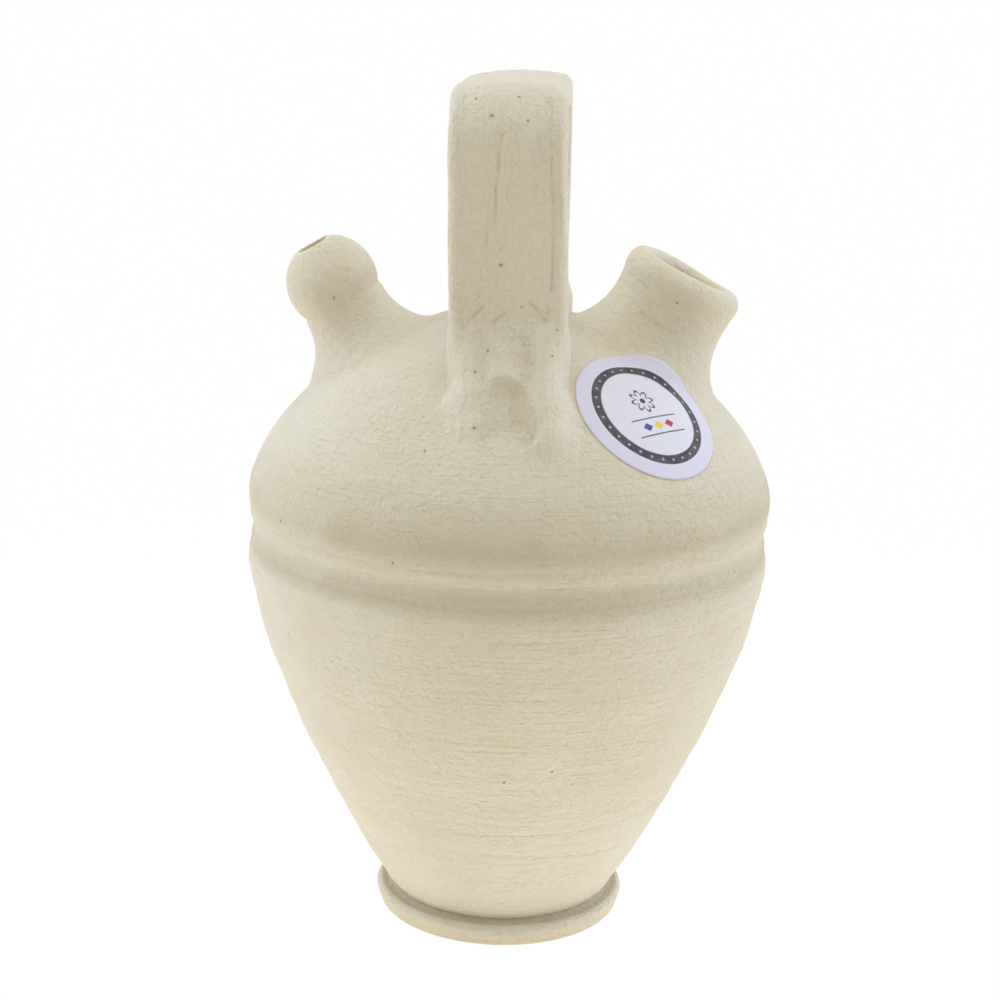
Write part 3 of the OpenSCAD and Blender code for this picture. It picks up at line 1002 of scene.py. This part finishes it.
CLAY = clay_material("clay", (1, 1, 24), 0.6)
DRAWN_CLAY = clay_material("drawn_clay", (9, 1, 1), 1.1)
PRESSED_CLAY = clay_material("pressed_clay", (1, 1, 1), 0.6)
PAPER = label_material()

verts, faces = revolved(lower_rows(), BODY_SEGMENTS)
new_piece("lower_half", verts, faces, CLAY, "lower_body")
verts, faces = revolved(upper_rows(), BODY_SEGMENTS)
new_piece("upper_half", verts, faces, CLAY, "upper_body")


def foot_rows():
    edge = 1.4
    shelf = SOLE_Z - 1.3
    side_r = FOOT_R - 1.3
    rows = [(FOOT_BORE_R + 0.1, SOLE_Z, 0), (FOOT_BORE_R, SOLE_Z / 2, 0), (FOOT_BORE_R + 0.1, 0.5, 0),
            (FOOT_BORE_R + 0.6, 0, 0), ((FOOT_BORE_R + FOOT_R) / 2, 0, 0)]
    rows += [(r, z, 0.35 * min(1.0, z)) for r, z in arc((side_r - edge, edge), edge, edge, -90, -10, 6)]
    rows += [(side_r + 0.5, shelf * 0.38, 0.5), (side_r + 0.9, shelf * 0.55, 0.6)]
    rows += [(r, z, 0.6) for r, z in arc((FOOT_R - 2.2, shelf - 2.2), 2.2, 2.2, 5, 80, 8)]
    rows += [(SOLE_R + 1.6, shelf - 0.5, 0.4), (SOLE_R + 0.4, shelf - 0.2, 0.3),
             (SOLE_R - 0.3, shelf + 0.5, 0), (SOLE_R - 1.0, SOLE_Z, 0), (SOLE_R - 3, SOLE_Z, 0),
             (FOOT_BORE_R + 0.1, SOLE_Z, 0)]
    return rows


verts, faces = revolved(foot_rows(), 360)
new_piece("foot", verts, faces, CLAY, "foot_ring")

NET = 0.62


def on_strap(points):
    """How much of the strap's drawn finish a point has: all of it up the strap, none on the dome."""
    return soft_step(points[:, 2], 196, 212)


def strap_piece(points):
    return np.maximum(strap(points), -(dome(points) + UNDER_DOME))


def front_root(points):
    return root_piece(points, 1)


def rear_root(points):
    return root_piece(points, -1)


# Name, shape, lowest and highest corner of its net, drawn finish, material, node
NETTED = [
    ("spout", spout_piece, (-92, -36, 150), (-12, 36, 236), None, PRESSED_CLAY, "pouring_spout"),
    ("mouth", mouth_piece, (2, -42, 150), (92, 42, 240), None, PRESSED_CLAY, "filling_mouth"),
    ("strap", strap_piece, (-27, -54, 176), (24, 54, 288), on_strap, DRAWN_CLAY, "handle_strap"),
    ("root_front", front_root, (-30, -80, 166), (30, -24, 217), on_strap, DRAWN_CLAY, "front_root"),
    ("root_rear", rear_root, (-30, 24, 166), (30, 80, 217), on_strap, DRAWN_CLAY, "rear_root"),
]
for name, shape, low, high, drawn, clay, node in NETTED:
    verts, faces = skin(shape, low, high, NET)
    new_piece(name, grown(shape, verts, drawn), faces, clay, node)


# Label: a thin round sheet laid on the dome and the foot of the mouth

def pot_outside(points):
    return smooth_min(mouth_outside(points), dome(points), BLEND)


def label_axes():
    b, t = math.radians(-LABEL_BEARING), math.radians(LABEL_LEAN)
    out = np.array([math.sin(t) * math.cos(b), math.sin(t) * math.sin(b), math.cos(t)])
    right = np.cross([0, 0, 1], out)
    right /= np.linalg.norm(right)
    up = np.cross(out, right)
    middle = np.array([LABEL_R * math.cos(b), LABEL_R * math.sin(b), dome_z(LABEL_R)])
    return middle, right, up, out


def label_piece():
    middle, right, up, out = label_axes()
    rings, segments = 40, 120
    flat = [(0, 0)]
    for i in range(1, rings + 1):
        for j in range(segments):
            a = 2 * math.pi * j / segments
            r = LABEL_D / 2 * i / rings
            flat.append((r * math.cos(a), r * math.sin(a)))
    flat = np.array(flat)
    points = middle + flat[:, :1] * right + flat[:, 1:] * up + out * 14
    for _ in range(60):
        points = points - out * (pot_outside(points) * 0.7)[:, None]
    slope = slope_of(pot_outside, points)
    normal = slope / np.linalg.norm(slope, axis=1)[:, None]
    lift = handmade(points)[:, None]
    front = points + normal * (lift + LABEL_FRONT)
    back = points + normal * (lift + LABEL_BACK)
    n = len(points)
    faces = []

    def ring(i, j):
        return 1 + (i - 1) * segments + j % segments

    for j in range(segments):
        faces.append((0, ring(1, j), ring(1, j + 1)))
        for i in range(1, rings):
            faces.append((ring(i, j), ring(i + 1, j), ring(i + 1, j + 1), ring(i, j + 1)))
    under = [tuple(n + v for v in reversed(face)) for face in faces]
    rim = [(ring(rings, j), n + ring(rings, j), n + ring(rings, j + 1), ring(rings, j + 1))
           for j in range(segments)]
    return np.concatenate([front, back]), faces + under + rim, np.concatenate([flat, flat])


verts, faces, flat = label_piece()
label = new_piece("paper_label", verts, faces, PAPER, "label")
layer = label.data.uv_layers.new(name="flat")
corners = np.empty(len(label.data.loops), int)
label.data.loops.foreach_get("vertex_index", corners)
layer.data.foreach_set("uv", (flat[corners] / LABEL_D + 0.5).ravel())


# Floor, light and camera

FLOOR_HALF = 40.0        # metres, so that the floor runs past every edge of the picture
FLOOR_GREY = 0.35
FLOOR_NEAR_GLOW = (0.98, 0.93, 0.84, 1)
FLOOR_FAR_GLOW = (0.57, 0.48, 0.30, 1)
FLOOR_GLOW_REACH = (0.12, 0.55)      # metres from the jug where the near glow starts and stops fading
FLOOR_WHITE = 0.98       # share of plain white in the floor as it is seen

# Soft light as broad lobes: direction, how tight the lobe is, colour and strength
LIGHTS = [((-1, 0, 0), 6, (2.80, 3.30, 4.30)), ((1, 0, 0), 6, (2.35, 2.80, 3.75)),
          ((0, 0, 1), 9, (2.60, 2.60, 2.50)), ((0, 1, 0), 1, (0.45, 0.48, 0.60)),
          ((0, -0.45, 0.9), 8, (1.00, 0.96, 0.82)),
          ((-0.7, 0.6, 0.4), 8, (0.80, 0.86, 1.10)), ((0.7, 0.6, 0.4), 8, (0.95, 1.02, 1.30))]


def seen_directly(nodes, links):
    """1 for what the camera sees, straight or in gloss or glass."""
    path = nodes.new("ShaderNodeLightPath")
    value = path.outputs["Is Camera Ray"]
    for name in ("Is Glossy Ray", "Is Transmission Ray"):
        node = nodes.new("ShaderNodeMath")
        node.operation = "MAXIMUM"
        links.new(value, node.inputs[0])
        links.new(path.outputs[name], node.inputs[1])
        value = node.outputs[0]
    return value


def floor_piece():
    h = FLOOR_HALF
    mesh = bpy.data.meshes.new("floor")
    mesh.from_pydata([(-h, -h, 0), (h, -h, 0), (h, h, 0), (-h, h, 0)], [], [(0, 1, 2, 3)])
    floor = bpy.data.objects.new("floor", mesh)
    bpy.context.scene.collection.objects.link(floor)
    mat, nodes, links = material("floor")
    nodes.remove(nodes["Principled BSDF"])
    grey = nodes.new("ShaderNodeBsdfDiffuse")
    grey.inputs["Color"].default_value = (FLOOR_GREY, FLOOR_GREY, FLOOR_GREY, 1)
    glow = nodes.new("ShaderNodeEmission")
    place = nodes.new("ShaderNodeTexCoord")
    reach = nodes.new("ShaderNodeVectorMath")
    reach.operation = "LENGTH"
    links.new(place.outputs["Object"], reach.inputs[0])
    fade = nodes.new("ShaderNodeMapRange")
    fade.inputs["From Min"].default_value = FLOOR_GLOW_REACH[0]
    fade.inputs["From Max"].default_value = FLOOR_GLOW_REACH[1]
    links.new(reach.outputs["Value"], fade.inputs["Value"])
    tone = nodes.new("ShaderNodeMix")
    tone.data_type = "RGBA"
    tone.inputs["A"].default_value = FLOOR_NEAR_GLOW
    tone.inputs["B"].default_value = FLOOR_FAR_GLOW
    links.new(fade.outputs["Result"], tone.inputs["Factor"])
    links.new(tone.outputs["Result"], glow.inputs["Color"])
    both = nodes.new("ShaderNodeAddShader")
    links.new(grey.outputs[0], both.inputs[0])
    links.new(glow.outputs[0], both.inputs[1])
    white = nodes.new("ShaderNodeEmission")
    share = nodes.new("ShaderNodeMath")
    share.operation = "MULTIPLY"
    share.inputs[1].default_value = FLOOR_WHITE
    links.new(seen_directly(nodes, links), share.inputs[0])
    mix = nodes.new("ShaderNodeMixShader")
    links.new(share.outputs[0], mix.inputs["Fac"])
    links.new(both.outputs[0], mix.inputs[1])
    links.new(white.outputs[0], mix.inputs[2])
    links.new(mix.outputs[0], nodes["Material Output"].inputs["Surface"])
    mesh.materials.append(mat)


def light_tent():
    world = bpy.data.worlds.new("tent")
    bpy.context.scene.world = world
    world.use_nodes = True
    nodes, links = world.node_tree.nodes, world.node_tree.links
    place = nodes.new("ShaderNodeTexCoord")

    def lobe(direction, power):
        toward = nodes.new("ShaderNodeVectorMath")
        toward.operation = "DOT_PRODUCT"
        toward.inputs[1].default_value = Vector(direction).normalized()
        links.new(place.outputs["Generated"], toward.inputs[0])
        level = nodes.new("ShaderNodeMath")
        level.operation = "MAXIMUM"
        level.inputs[1].default_value = 0.0
        links.new(toward.outputs["Value"], level.inputs[0])
        node = nodes.new("ShaderNodeMath")
        node.operation = "POWER"
        node.inputs[1].default_value = power
        links.new(level.outputs[0], node.inputs[0])
        return node.outputs[0]

    light = nodes["Background"]
    total = None
    for direction, power, colour in LIGHTS:
        node = nodes.new("ShaderNodeVectorMath")
        node.operation = "MULTIPLY_ADD"
        node.inputs[0].default_value = colour
        links.new(lobe(direction, power), node.inputs[1])
        if total is not None:
            links.new(total, node.inputs[2])
        total = node.outputs[0]
    links.new(total, light.inputs["Color"])
    white = nodes.new("ShaderNodeBackground")
    white.inputs["Color"].default_value = (1, 1, 1, 1)
    mix = nodes.new("ShaderNodeMixShader")
    links.new(seen_directly(nodes, links), mix.inputs["Fac"])
    links.new(light.outputs[0], mix.inputs[1])
    links.new(white.outputs[0], mix.inputs[2])
    links.new(mix.outputs[0], nodes["World Output"].inputs["Surface"])


def camera():
    data = bpy.data.cameras.new("camera")
    data.lens = CAMERA_LENS
    data.sensor_width = SENSOR
    data.clip_start = 0.01
    cam = bpy.data.objects.new("camera", data)
    bpy.context.scene.collection.objects.link(cam)
    cam.matrix_world = camera_matrix()
    bpy.context.scene.camera = cam


floor_piece()
light_tent()
camera()
bpy.context.scene.view_settings.view_transform = "Standard"
